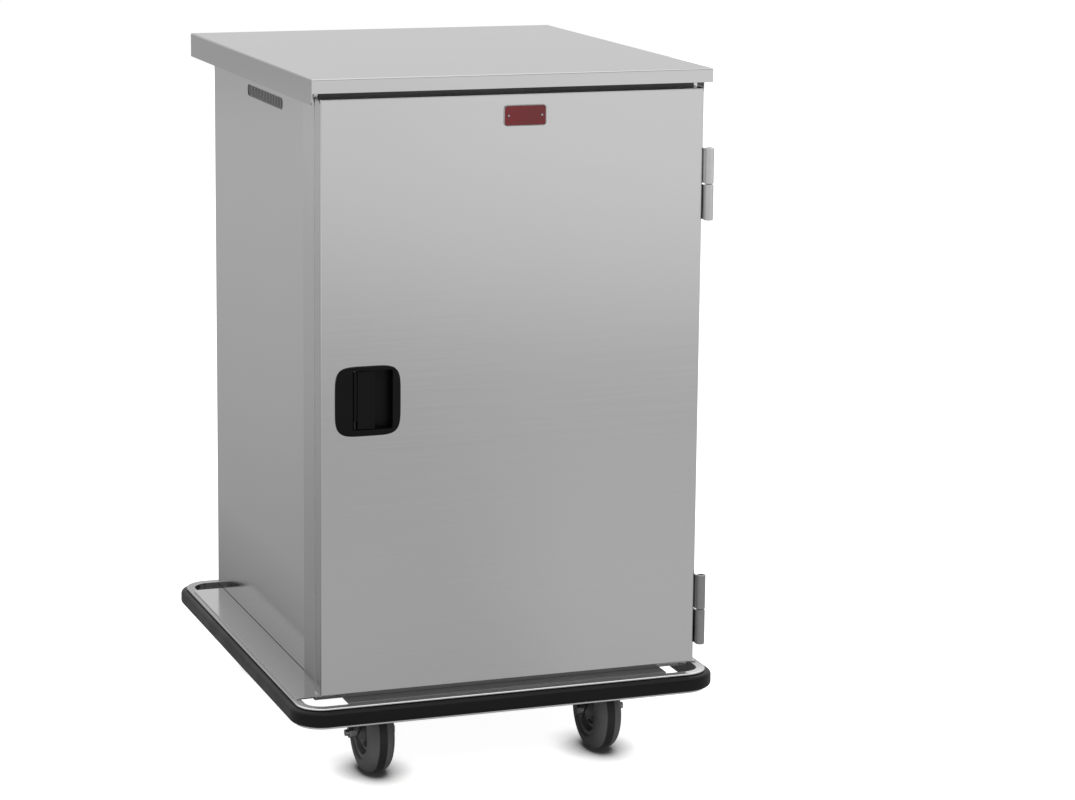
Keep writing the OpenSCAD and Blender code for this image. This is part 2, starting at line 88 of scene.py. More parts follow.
def closeMaterial(tree, style, colours, roughness, patterns, constants):
    # three patterns, each from 0 to 1, shade the colour, wear the polish and raise the
    # surface; constants are the same all over it
    tone, wear, relief = patterns
    dark, light = colours
    colour = addNode(tree, "ShaderNodeValToRGB", {"Fac": tone},
                     stops=[(style["darkTo"], hexColour(dark)),
                            (style["lightFrom"], hexColour(light))])
    rough = addNode(tree, "ShaderNodeMapRange",
                    {"Value": wear, "From Min": style["wearFrom"], "From Max": style["wearTo"],
                     "To Min": roughness - style["smoother"],
                     "To Max": roughness + style["rougher"]})
    bump = addNode(tree, "ShaderNodeBump",
                   {"Height": relief, "Strength": style["bump"],
                    "Distance": mm(style["bumpHeight"])})
    shader = addNode(tree, "ShaderNodeBsdfPrincipled",
                     {"Base Color": colour.outputs["Color"],
                      "Roughness": rough.outputs["Result"],
                      "Normal": bump.outputs["Normal"], **constants})
    addNode(tree, "ShaderNodeOutputMaterial", {"Surface": shader.outputs["BSDF"]})


brushedSheet = {
    "colours": ("#c8c8c8", "#cbcbcb"), "roughness": 0.14, "grainWidth": 2.4,
    "grainLength": 240.0, "grainDetail": 3.0, "grainBreaks": 0.6, "cloudSize": 420.0,
    "cloudDetail": 2.0, "cloudShare": 0.5, "darkTo": 0.35, "lightFrom": 0.65,
    "wearFrom": 0.3, "wearTo": 0.7, "smoother": 0.02, "rougher": 0.03, "bump": 0.003,
    "bumpHeight": 0.4,
}


def makeBrushedSheet(name, grainAlong, colours=brushedSheet["colours"],
                     roughness=brushedSheet["roughness"]):
    # cold rolled stainless sheet, belt brushed and then polished: clear reflections that
    # the grain softens. The real grain is 0.1 mm wide and is drawn wider so that it shows
    sheet = brushedSheet
    material, tree = newMaterial(name)
    place = addNode(tree, "ShaderNodeTexCoord").outputs["Object"]
    stretch = [perMetre(sheet["grainWidth"])] * 3
    stretch["XYZ".index(grainAlong)] = perMetre(sheet["grainLength"])
    grainMap = addNode(tree, "ShaderNodeMapping", {"Vector": place, "Scale": stretch})
    grain = addNode(tree, "ShaderNodeTexNoise",
                    {"Vector": grainMap.outputs["Vector"], "Scale": 1.0,
                     "Detail": sheet["grainDetail"], "Roughness": sheet["grainBreaks"]})
    cloud = addNode(tree, "ShaderNodeTexNoise",
                    {"Vector": place, "Scale": perMetre(sheet["cloudSize"]),
                     "Detail": sheet["cloudDetail"]})
    tone = addNode(tree, "ShaderNodeMix",
                   {0: sheet["cloudShare"], 2: grain.outputs["Fac"], 3: cloud.outputs["Fac"]},
                   {"data_type": "FLOAT"})
    closeMaterial(tree, sheet, colours, roughness,
                  (tone.outputs[0], grain.outputs["Fac"], grain.outputs["Fac"]),
                  {"Metallic": 1.0})
    return material


sheetUpright = makeBrushedSheet("brushedStainlessUprightGrain", "Z")
sheetAcross = makeBrushedSheet("brushedStainlessCrossGrain", "X")
sheetAlong = makeBrushedSheet("brushedStainlessLongGrain", "Y", ("#d5d5d5", "#d9d9d9"))
# the frame, door and cap get copies of the sheet of their own, each of which takes its own
# painted shade below
frameSheet = makeBrushedSheet("brushedStainlessFrame", "Z", ("#cecece", "#d2d2d2"))
doorSheet = makeBrushedSheet("brushedStainlessDoor", "X")
capSheet = makeBrushedSheet("brushedStainlessCap", "X")
innerSteel = makeBrushedSheet("millFinishStainless", "Y", ("#adaeaf", "#b9babb"), 0.30)
# the bumper rail is a satin sheet lighter than the rest: partly its own finish and partly a
# painted highlight for its lit lips
railSteel = makeBrushedSheet("satinRailPaintedHighlight", "X", ("#e2e2e2", "#e9e9e9"), 0.26)
# the base channels are a darker grey than the other sheet: painted shade, for the shadow under
# the door
shadedChannelSteel = makeBrushedSheet("channelSteelPaintedShade", "X", ("#878787", "#8e8e8e"), 0.22)

zincPlating = {
    "spangleSize": 5.0, "cloudSize": 24.0, "cloudDetail": 4.0, "cloudShare": 0.75,
    "darkTo": 0.25, "lightFrom": 0.75, "wearFrom": 0.3, "wearTo": 0.7, "smoother": 0.05,
    "rougher": 0.06, "bump": 0.05, "bumpHeight": 0.3,
}


def makeZincPlate(name, colours, roughness):
    # bright zinc plating on pressed steel: slightly cloudy, with dull handling marks
    zinc = zincPlating
    material, tree = newMaterial(name)
    place = addNode(tree, "ShaderNodeTexCoord").outputs["Object"]
    spangle = addNode(tree, "ShaderNodeTexVoronoi",
                      {"Vector": place, "Scale": perMetre(zinc["spangleSize"])})
    cloud = addNode(tree, "ShaderNodeTexNoise",
                    {"Vector": place, "Scale": perMetre(zinc["cloudSize"]),
                     "Detail": zinc["cloudDetail"]})
    tone = addNode(tree, "ShaderNodeMix",
                   {0: zinc["cloudShare"], 2: spangle.outputs["Distance"],
                    3: cloud.outputs["Fac"]},
                   {"data_type": "FLOAT"})
    closeMaterial(tree, zinc, colours, roughness,
                  (tone.outputs[0], cloud.outputs["Fac"], cloud.outputs["Fac"]),
                  {"Metallic": 1.0})
    return material


zincPlate = makeZincPlate("zincPlatedSteel", ("#989898", "#bcbcbc"), 0.30)
satinSteel = makeZincPlate("satinSteelHinge", ("#d4d4d4", "#e6e6e6"), 0.34)
brightSteel = makeZincPlate("polishedSteelFastener", ("#9c9c9c", "#c9c9c9"), 0.24)

moulding = {
    "bloomSize": 71.43, "bloomDetail": 5.0, "grainDetail": 2.0, "darkTo": 0.35,
    "lightFrom": 0.7, "wearFrom": 0.35, "wearTo": 0.7, "smoother": 0.05, "rougher": 0.08,
    "bump": 0.12, "bumpHeight": 0.2,
}


def makeMoulding(name, colours, roughness, grainSize, shine):
    # moulded rubber or nylon: a dull bloom in patches over a fine moulded grain, which an
    # oil film and stoved enamel show too, at their own grain size
    mould = moulding
    material, tree = newMaterial(name)
    place = addNode(tree, "ShaderNodeTexCoord").outputs["Object"]
    bloom = addNode(tree, "ShaderNodeTexNoise",
                    {"Vector": place, "Scale": perMetre(mould["bloomSize"]),
                     "Detail": mould["bloomDetail"]})
    grain = addNode(tree, "ShaderNodeTexNoise",
                    {"Vector": place, "Scale": perMetre(grainSize),
                     "Detail": mould["grainDetail"]})
    closeMaterial(tree, mould, colours, roughness,
                  (bloom.outputs["Fac"], bloom.outputs["Fac"], grain.outputs["Fac"]),
                  {"Specular IOR Level": shine})
    return material


bumperRubber = makeMoulding("extrudedVinylBumper", ("#0b0b0c", "#101011"), 0.40, 1.2, 0.22)
tyreRubber = makeMoulding("mouldedTyreRubber", ("#606061", "#6c6c6d"), 0.50, 1.0, 0.40)
gasketRubber = makeMoulding("foamSealantRubber", ("#141415", "#1c1c1d"), 0.75, 1.5, 0.20)
greyVinyl = makeMoulding("softVinylDoorGasket", ("#9a9a9a", "#a4a4a4"), 0.6, 1.5, 0.20)
paleVinyl = makeMoulding("softVinylJambSeal", ("#d6d6d6", "#e0e0e0"), 0.6, 1.5, 0.20)
wheelPlastic = makeMoulding("mouldedNylonWheel", ("#767678", "#848486"), 0.48, 1.6, 0.35)
latchPlastic = makeMoulding("mouldedBlackNylonLatch", ("#0a0a0a", "#0d0d0d"), 0.36, 0.9, 0.15)
ventPlastic = makeMoulding("mouldedGreyVentGrille", ("#858585", "#929292"), 0.5, 0.9, 0.25)
springSteel = makeMoulding("oiledBlackSpringSteel", ("#161616", "#1e1e1e"), 0.30, 1.5, 0.30)
plateEnamel = makeMoulding("stovedRedEnamelPlate", ("#6a1218", "#7c171e"), 0.22, 3.0, 0.5)


def paintOf(material):
    # the material's nodes, its shader and what colours that shader so far
    tree = material.node_tree
    shader = [node for node in tree.nodes if node.type == "BSDF_PRINCIPLED"][0]
    return tree, shader, shader.inputs["Base Color"].links[0].from_socket


# painted shade: a stop is a place in metres along the axis and the share of its brightness that
# the metal or vinyl keeps there, standing in for the shade and dim reflections low down, on the
# edges that face sideways and along the bumper rail's sides. Sideways shades only the folded
# edges that face along X, from none to all of the shade between the two numbers of edgeFacing
shadeReach = {"Y": (-0.5, 0.5), "Z": (0.0, 1.3)}
edgeFacing = {"none": 0.5, "full": 0.8}
paintedShades = {
    "frame": {"of": frameSheet, "along": "Z", "sideways": True,
              "stops": ((0.20, 0.36), (0.35, 0.67), (0.65, 0.80), (1.0, 0.88), (1.20, 0.97))},
    "door": {"of": doorSheet, "along": "Z", "sideways": True,
             "stops": ((0.20, 0.31), (0.35, 0.64), (0.65, 0.80), (0.95, 0.84), (1.20, 0.98))},
    "cap": {"of": capSheet, "along": "Z", "sideways": True,
            "stops": ((0.20, 0.82), (1.20, 0.82))},
    "panel": {"of": sheetUpright, "along": "Z", "sideways": False,
              "stops": ((0.18, 0.50), (0.25, 0.70), (0.36, 0.95), (0.60, 1.0))},
    "jamb": {"of": paleVinyl, "along": "Z", "sideways": False,
             "stops": ((0.20, 0.48), (0.35, 0.56), (0.65, 0.74), (1.20, 1.0))},
    "hinge": {"of": satinSteel, "along": "Z", "sideways": False,
              "stops": ((0.40, 0.45), (1.10, 0.93))},
    "rail": {"of": railSteel, "along": "Y", "sideways": False,
             "stops": ((-0.43, 1.0), (-0.37, 0.55), (0.40, 0.55))},
}


def paintShadeAlong(paintedShade):
    # painted shade: each sheet or vinyl is darker where its stops say, standing in for the shade
    # and dim reflections that fall there
    tree, shader, plain = paintOf(paintedShade["of"])
    texture = addNode(tree, "ShaderNodeTexCoord")
    place = addNode(tree, "ShaderNodeSeparateXYZ", {0: texture.outputs["Object"]})
    low, high = shadeReach[paintedShade["along"]]
    along = addNode(tree, "ShaderNodeMapRange",
                    {"Value": place.outputs[paintedShade["along"]], "From Min": low,
                     "From Max": high})
    shade = addNode(tree, "ShaderNodeValToRGB", {"Fac": along.outputs["Result"]},
                    stops=[((at - low) / (high - low), grey(level))
                           for at, level in paintedShade["stops"]])
    shadedColour = addNode(tree, "ShaderNodeVectorMath", {0: plain, 1: shade.outputs["Color"]},
                     {"operation": "MULTIPLY"})
    colour = shadedColour.outputs["Vector"]
    if paintedShade["sideways"]:
        facing = addNode(tree, "ShaderNodeSeparateXYZ", {0: texture.outputs["Normal"]})
        side = addNode(tree, "ShaderNodeMath", {0: facing.outputs["X"]},
                       {"operation": "ABSOLUTE"})
        edge = addNode(tree, "ShaderNodeMapRange",
                       {"Value": side.outputs[0], "From Min": edgeFacing["none"],
                        "From Max": edgeFacing["full"]})
        blend = addNode(tree, "ShaderNodeMix", {0: edge.outputs["Result"], 6: plain, 7: colour},
                        {"data_type": "RGBA"})
        colour = blend.outputs[2]
    tree.links.new(colour, shader.inputs["Base Color"])


for paintedShade in paintedShades.values():
    paintShadeAlong(paintedShade)

treadBand = {"middle": 221.0, "half": 6.6, "fade": 2.0, "colour": "#262627"}


def darkenTread(material):
    # the worn tread is blacker than the dusty shoulders and sides of the tyre
    tree, shader, wall = paintOf(material)
    place = addNode(tree, "ShaderNodeTexCoord").outputs["Object"]
    parts = addNode(tree, "ShaderNodeSeparateXYZ", {0: place})
    side = addNode(tree, "ShaderNodeMath", {0: parts.outputs["X"]}, {"operation": "ABSOLUTE"})
    off = addNode(tree, "ShaderNodeMath", {0: side.outputs[0], 1: mm(treadBand["middle"])},
                  {"operation": "SUBTRACT"})
    off = addNode(tree, "ShaderNodeMath", {0: off.outputs[0]}, {"operation": "ABSOLUTE"})
    mask = addNode(tree, "ShaderNodeMapRange",
                   {"Value": off.outputs[0], "From Min": mm(treadBand["half"]),
                    "From Max": mm(treadBand["half"] + treadBand["fade"])})
    blend = addNode(tree, "ShaderNodeMix",
                    {0: mask.outputs["Result"], 6: hexColour(treadBand["colour"]), 7: wall},
                    {"data_type": "RGBA"})
    tree.links.new(blend.outputs[2], shader.inputs["Base Color"])


darkenTread(tyreRubber)

corners = {"fl": (-1, -1), "fr": (1, -1), "rl": (-1, 1), "rr": (1, 1)}
slotFinishes = {
    "stainless": sheetAcross, "inner_steel": innerSteel, "black_rubber": bumperRubber,
    "wheel_grey": wheelPlastic, "black_plastic": latchPlastic, "zinc": zincPlate,
    "bright_steel": brightSteel, "red_enamel": plateEnamel,
}
ownFinishes = {
    "door_gasket": greyVinyl, "bumper_channel": railSteel, "vent_grilles": ventPlastic,
    "latch_spring": springSteel, "front_frame": frameSheet, "door_skin": doorSheet,
    "top_cap": capSheet, "side_panel_left": sheetUpright, "side_panel_right": sheetUpright,
    "back_panel": sheetUpright, "deck_plate_left": sheetAlong, "deck_plate_right": sheetAlong,
    "base_channel_front": shadedChannelSteel, "base_channel_rear": shadedChannelSteel,
}
for corner in corners:
    ownFinishes["tyre_" + corner] = tyreRubber
for level in ("upper", "lower"):
    ownFinishes["hinge_frame_leaf_" + level] = satinSteel
    ownFinishes["hinge_door_leaf_" + level] = satinSteel


def dress(obj, material):
    if not obj.material_slots:
        obj.data.materials.append(material)
    for slot in obj.material_slots:
        slot.material = material


for part in frame["record"]["subparts"]:
    name = part["node"]
    dress(nodes[name], ownFinishes.get(name, slotFinishes[part["material_slot"]]))
print("dressed the cad nodes")


softEdges = {
    "top_cap": 0.5, "door_skin": 1.2, "front_frame": 0.4, "deck_plate_left": 0.5,
    "deck_plate_right": 0.5, "base_channel_front": 0.5, "base_channel_rear": 0.5,
    "bumper_channel": 2.2, "latch_housing": 2.0, "latch_paddle": 0.8, "name_plate": 0.5,
}
edgeRound = {"weldGap": 0.01, "foldAngle": 40.0, "wideFrom": 1.0, "steps": 2, "wideSteps": 3}


def softenEdges(obj, width):
    # sheared and moulded edges are never razor sharp: a small round catches the light
    weld = obj.modifiers.new("weldSeams", "WELD")
    weld.merge_threshold = mm(edgeRound["weldGap"])
    bevel = obj.modifiers.new("softEdge", "BEVEL")
    bevel.width = mm(width)
    bevel.segments = edgeRound["steps" if width < edgeRound["wideFrom"] else "wideSteps"]
    bevel.limit_method = "ANGLE"
    bevel.angle_limit = math.radians(edgeRound["foldAngle"])
    bevel.use_clamp_overlap = True
    even = obj.modifiers.new("evenShading", "WEIGHTED_NORMAL")
    even.keep_sharp = False


for name, width in softEdges.items():
    softenEdges(nodes[name], width)
print("softened the sheet edges")

# folds flatter than this angle are smoothed, and a front face points forwards this squarely
trimPieces = {"smoothBelow": 40.0, "squareOn": 0.9}


def placePiece(name, at, size=None, turnedAbout=None):
    # names the active piece, then sizes it, turns it a quarter and moves it, in mm and in
    # its mesh, so that its object stays at the origin
    piece = bpy.context.object
    piece.name = name
    bpy.ops.object.mode_set(mode="EDIT")
    bpy.ops.mesh.select_all(action="SELECT")
    if size:
        bpy.ops.transform.resize(value=[mm(v) for v in size], center_override=(0, 0, 0))
    if turnedAbout:
        bpy.ops.transform.rotate(value=math.pi / 2, orient_axis=turnedAbout,
                                 center_override=(0, 0, 0))
    bpy.ops.transform.translate(value=[mm(v) for v in at])
    bpy.ops.object.mode_set(mode="OBJECT")
    return piece


def blockPiece(name, low, high):
    # a box between two corners in mm
    bpy.ops.object.select_all(action="DESELECT")
    bpy.ops.mesh.primitive_cube_add(size=1.0, location=(0, 0, 0))
    size = [b - a for a, b in zip(low, high)]
    middle = [(a + b) / 2 for a, b in zip(low, high)]
    return placePiece(name, middle, size)


def discPiece(name, radius, depth, at, sides):
    # a disc in mm whose axis runs from front to back
    bpy.ops.object.select_all(action="DESELECT")
    bpy.ops.mesh.primitive_cylinder_add(vertices=sides, radius=mm(radius), depth=mm(depth))
    return placePiece(name, at, turnedAbout="X")


def copyPiece(piece, name, shift):
    # a copy with its own mesh, which the shift in mm moves
    bpy.ops.object.select_all(action="DESELECT")
    piece.select_set(True)
    bpy.context.view_layer.objects.active = piece
    bpy.ops.object.duplicate(linked=False)
    return placePiece(name, shift)


def joinPieces(name, pieces):
    bpy.ops.object.select_all(action="DESELECT")
    for piece in pieces:
        piece.select_set(True)
    bpy.context.view_layer.objects.active = pieces[0]
    bpy.ops.object.join()
    pieces[0].name = name
    return pieces[0]


def pickParts(piece, kind, wanted):
    # leaves the piece in edit mode, with only the wanted faces or edges selected
    bpy.ops.object.mode_set(mode="EDIT")
    bpy.ops.mesh.select_mode(type=kind)
    bpy.ops.mesh.select_all(action="DESELECT")
    bpy.ops.object.mode_set(mode="OBJECT")
    for part in piece.data.polygons if kind == "FACE" else piece.data.edges:
        part.select = wanted(part)
    bpy.ops.object.mode_set(mode="EDIT")


def pickFrontFaces(piece):
    pickParts(piece, "FACE", lambda face: face.normal.y < -trimPieces["squareOn"])


def pickEdges(piece, wanted):
    pickParts(piece, "EDGE",
              lambda edge: wanted(*[piece.data.vertices[i].co for i in edge.vertices]))


def closePiece(piece, material, body):
    # turns every face outwards, smooths the rounds and gives the piece its finish and body
    bpy.ops.object.select_all(action="DESELECT")
    piece.select_set(True)
    bpy.context.view_layer.objects.active = piece
    bpy.ops.object.mode_set(mode="EDIT")
    bpy.ops.mesh.select_all(action="SELECT")
    bpy.ops.mesh.normals_make_consistent(inside=False)
    bpy.ops.object.mode_set(mode="OBJECT")
    bpy.ops.object.shade_smooth_by_angle(angle=math.radians(trimPieces["smoothBelow"]))
    piece.data.materials.clear()
    piece.data.materials.append(material)
    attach(piece, body)


headSeal = {
    "halfWidth": 350.0, "back": -405.0, "front": -408.2, "low": 1250.0, "high": 1264.0,
    "round": 1.2, "roundSteps": 3, "longEdge": 100.0, "frontDepth": 1.0,
}


def makeHeadSeal():
    # sponge strip on the head of the frame, which the top of the door closes against
    seal = headSeal
    piece = blockPiece("headSeal", (-seal["halfWidth"], seal["front"], seal["low"]),
                       (seal["halfWidth"], seal["back"], seal["high"]))
    pickEdges(piece, lambda a, b: abs(a.x - b.x) > mm(seal["longEdge"])
              and a.y < mm(seal["front"] + seal["frontDepth"]))
    bpy.ops.mesh.bevel(offset=mm(seal["round"]), segments=seal["roundSteps"])
    bpy.ops.object.mode_set(mode="OBJECT")
    closePiece(piece, greyVinyl, "cart")


jambSeal = {
    "inner": 353.0, "outer": 356.7, "front": -408.2, "back": -405.0, "low": 194.0,
    "high": 1249.0,
}
ventShadeSheet = {
    "inner": 322.55, "outer": 322.95, "front": -100.0, "back": 168.0, "low": 1194.0,
    "high": 1222.0,
}


def makeStrips(name, strip, material):
    # the same flat strip on the left and on the right of the cart
    left = blockPiece(name, (-strip["outer"], strip["front"], strip["low"]),
                      (-strip["inner"], strip["back"], strip["high"]))
    right = copyPiece(left, name, (strip["inner"] + strip["outer"], 0, 0))
    closePiece(joinPieces(name, [left, right]), material, "cart")


panelSeam = {"x": 326.0, "z": 176.5, "front": -336.0, "back": 410.0, "radius": 0.7, "sides": 12}


def makePanelSeams():
    # a thin bead of sealant where each side panel stands on its deck plate
    seam = panelSeam
    at = (-seam["x"], (seam["front"] + seam["back"]) / 2, seam["z"])
    left = discPiece("panelSeams", seam["radius"], seam["back"] - seam["front"], at,
                     seam["sides"])
    right = copyPiece(left, "panelSeams", (2 * seam["x"], 0, 0))
    closePiece(joinPieces("panelSeams", [left, right]), gasketRubber, "cart")


plateRim = {
    "x": 17.0, "z": 1218.0, "halfWidth": 39.6, "halfHeight": 18.6, "back": -440.0,
    "front": -442.1, "corner": 6.6, "cornerSteps": 6, "sideEdge": 1.0, "rim": 2.6,
    "recess": 1.6, "round": 0.4, "roundSteps": 2, "roundAngle": 50.0,
}


def makePlateRim():
    # pressed steel surround of the name plate: a tray with a raised round-cornered edge
    rim = plateRim
    piece = blockPiece("plateRim",
                       (rim["x"] - rim["halfWidth"], rim["front"], rim["z"] - rim["halfHeight"]),
                       (rim["x"] + rim["halfWidth"], rim["back"], rim["z"] + rim["halfHeight"]))
    pickEdges(piece, lambda a, b: abs(a.y - b.y) > mm(rim["sideEdge"]))
    bpy.ops.mesh.bevel(offset=mm(rim["corner"]), segments=rim["cornerSteps"])
    pickFrontFaces(piece)
    bpy.ops.mesh.inset(thickness=mm(rim["rim"]))
    bpy.ops.transform.translate(value=(0, mm(rim["recess"]), 0))
    bpy.ops.object.mode_set(mode="OBJECT")
    bevel = piece.modifiers.new("softRim", "BEVEL")
    bevel.width = mm(rim["round"])
    bevel.segments = rim["roundSteps"]
    bevel.angle_limit = math.radians(rim["roundAngle"])
    bpy.ops.object.modifier_apply(modifier=bevel.name)
    closePiece(piece, brightSteel, "door")


plateRivet = {
    "away": 31.0, "radius": 2.1, "depth": 1.4, "proud": 0.1, "dome": 0.9, "domeSteps": 4,
    "sides": 24,
}


def makePlateRivets():
    # domed rivets, one at each end of the plate
    rivet = plateRivet
    at = (plateRim["x"] - rivet["away"], plateRim["front"] - rivet["proud"], plateRim["z"])
    left = discPiece("plateRivets", rivet["radius"], rivet["depth"], at, rivet["sides"])
    pickFrontFaces(left)
    bpy.ops.mesh.bevel(offset=mm(rivet["dome"]), segments=rivet["domeSteps"])
    bpy.ops.object.mode_set(mode="OBJECT")
    right = copyPiece(left, "plateRivets", (2 * rivet["away"], 0, 0))
    closePiece(joinPieces("plateRivets", [left, right]), brightSteel, "door")


casterTrim = {
    "across": 221.0, "along": 341.0, "lead": 38.0, "axleZ": 76.2, "around": 48,
    "tubeSides": 8,
    "race": {"radius": 34.4, "tube": 0.9, "z": 168.6},
    "beads": ({"radius": 32.0, "tube": 1.2, "face": 12.6},
              {"radius": 46.5, "tube": 1.4, "face": 19.6}),
}


def ringPiece(name, ring, at, turnedAbout=None):
    # a round bead in mm, lying flat unless it is turned
    bpy.ops.object.select_all(action="DESELECT")
    bpy.ops.mesh.primitive_torus_add(major_radius=mm(ring["radius"]),
                                     minor_radius=mm(ring["tube"]),
                                     major_segments=casterTrim["around"],
                                     minor_segments=casterTrim["tubeSides"])
    return placePiece(name, at, turnedAbout=turnedAbout)


def makeRaceSeal():
    # rubber lip that keeps dirt out of the ball race between the fork and its plate
    trim = casterTrim
    at = (-trim["across"], -trim["along"], trim["race"]["z"])
    return ringPiece("raceSeal_fl", trim["race"], at)


def makeWheelBeads():
    # moulded beads on both faces of the wheel: one round the web and one round the rim
    trim = casterTrim
    rings = []
    for bead in trim["beads"]:
        at = (-trim["across"] - bead["face"], -trim["along"] + trim["lead"], trim["axleZ"])
        ring = ringPiece("wheelBead", bead, at, turnedAbout="Y")
        rings += [ring, copyPiece(ring, "wheelBead", (2 * bead["face"], 0, 0))]
    return joinPieces("wheelBeads_fl", rings)


def makeCasterTrim():
    # modelled on the front left caster, which the other three have copies of
    seal, beads = makeRaceSeal(), makeWheelBeads()
    seals, beadSets = {"fl": seal}, {"fl": beads}
    for corner, (side, end) in corners.items():
        if corner not in seals:
            shift = ((side + 1) * casterTrim["across"], (end + 1) * casterTrim["along"], 0)
            seals[corner] = copyPiece(seal, "raceSeal_" + corner, shift)
            beadSets[corner] = copyPiece(beads, "wheelBeads_" + corner, shift)
    for corner in corners:
        closePiece(seals[corner], gasketRubber, "swivel_" + corner)
        closePiece(beadSets[corner], wheelPlastic, "wheel_" + corner)


makeHeadSeal()
makeStrips("jambSeals", jambSeal, paleVinyl)  # in the gap behind the edge of the door
makePanelSeams()
makeStrips("ventShadeSheets", ventShadeSheet, latchPlastic)  # black sheet behind each vent grille: painted shade, for the shade inside the cart that the slits show
makePlateRim()
makePlateRivets()
makeCasterTrim()
print("made the trim pieces")


def frontToBack(tree, along, depth, levels, gain=1.0):
    # grey levels along a reach, one set ahead of the object and another behind it
    front, back = [addNode(tree, "ShaderNodeValToRGB", {"Fac": along},
                           stops=[(at, grey(level / gain)) for at, level in levels[side]])
                   for side in ("front", "back")]
    behind = addNode(tree, "ShaderNodeMapRange",
                     {"Value": depth, "From Min": -levels["change"],
                      "From Max": levels["change"]})
    blend = addNode(tree, "ShaderNodeMix",
                    {0: behind.outputs["Result"], 6: front.outputs["Color"],
                     7: back.outputs["Color"]},
                    {"data_type": "RGBA"})
    return blend.outputs[2]


floorPaint = {
    "size": 23.0, "colour": "#d8d8d6", "contactReach": 0.080, "contactFrom": 0.44,
    "contactTo": 0.94, "contactDark": 0.05, "contactGlow": 0.020, "glow": 0.93,
    "contactSamples": 16,
}


def floorForCamera(tree):
    # to the camera the floor is white, but for the contact shadow of what stands on it
    paint = floorPaint
    contact = addNode(tree, "ShaderNodeAmbientOcclusion", {"Distance": paint["contactReach"]},
                      {"samples": paint["contactSamples"]})
    lit = addNode(tree, "ShaderNodeMapRange",
                  {"Value": contact.outputs["AO"], "From Min": paint["contactFrom"],
                   "From Max": paint["contactTo"]})
    colour = addNode(tree, "ShaderNodeValToRGB", {"Fac": lit.outputs["Result"]},
                     stops=[(0.0, grey(paint["contactDark"])),
                            (1.0, hexColour(paint["colour"]))])
    matt = addNode(tree, "ShaderNodeBsdfDiffuse", {"Color": colour.outputs["Color"]})
    level = addNode(tree, "ShaderNodeMapRange",
                    {"Value": lit.outputs["Result"], "To Min": paint["contactGlow"],
                     "To Max": paint["glow"]})
    glow = addNode(tree, "ShaderNodeEmission", {"Strength": level.outputs["Result"]})
    return addNode(tree, "ShaderNodeAddShader", {0: matt.outputs[0], 1: glow.outputs[0]})


floorSweep = {
    "near": 0.6, "far": 12.0, "change": 0.8,
    "front": ((0.0, 0.61), (0.10, 0.66), (0.20, 0.65), (0.27, 0.64), (0.34, 0.68),
              (0.52, 0.89), (0.74, 0.98), (1.0, 1.04)),
    "back": ((0.0, 0.41), (0.12, 0.46), (0.23, 0.50), (0.386, 0.545), (0.52, 0.575),
             (0.74, 0.60), (0.90, 0.565), (1.0, 0.50)),
    "leftFrom": 0.20, "leftTo": 0.36, "leftShare": 0.89, "shadeReach": 0.5,
    "shadeFrom": 0.15, "shadeTo": 0.85, "shadeDark": 0.06, "shadeSamples": 4,
}


def floorForMetal(tree):
    # to polished metal it is a pale sweep that falls off towards the object and behind it
    sweep = floorSweep
    place = addNode(tree, "ShaderNodeTexCoord").outputs["Object"]
    reach = addNode(tree, "ShaderNodeVectorMath", {0: place}, {"operation": "LENGTH"})
    away = addNode(tree, "ShaderNodeMapRange",
                   {"Value": reach.outputs["Value"], "From Min": sweep["near"],
                    "From Max": sweep["far"]})
    parts = addNode(tree, "ShaderNodeSeparateXYZ", {0: place})
    pale = frontToBack(tree, away.outputs["Result"], parts.outputs["Y"], sweep)
    # ahead and to the left it is a little darker than to the right
    ahead = addNode(tree, "ShaderNodeMath", {0: parts.outputs["Y"], 1: -1.0},
                    {"operation": "MULTIPLY"})
    slant = addNode(tree, "ShaderNodeMath", {0: parts.outputs["X"], 1: ahead.outputs[0]},
                    {"operation": "DIVIDE"})
    left = addNode(tree, "ShaderNodeMapRange",
                   {"Value": slant.outputs[0], "From Min": sweep["leftFrom"],
                    "From Max": sweep["leftTo"], "To Min": sweep["leftShare"], "To Max": 1.0})
    # and the floor under and close to the object lies in its shade
    covered = addNode(tree, "ShaderNodeAmbientOcclusion", {"Distance": sweep["shadeReach"]},
                      {"samples": sweep["shadeSamples"]})
    shade = addNode(tree, "ShaderNodeMapRange",
                    {"Value": covered.outputs["AO"], "From Min": sweep["shadeFrom"],
                     "From Max": sweep["shadeTo"], "To Min": sweep["shadeDark"], "To Max": 1.0})
    level = addNode(tree, "ShaderNodeMath", {0: pale, 1: left.outputs["Result"]},
                    {"operation": "MULTIPLY"})
    level = addNode(tree, "ShaderNodeMath", {0: level.outputs[0], 1: shade.outputs["Result"]},
                    {"operation": "MULTIPLY"})
    return addNode(tree, "ShaderNodeEmission", {"Strength": level.outputs[0]})


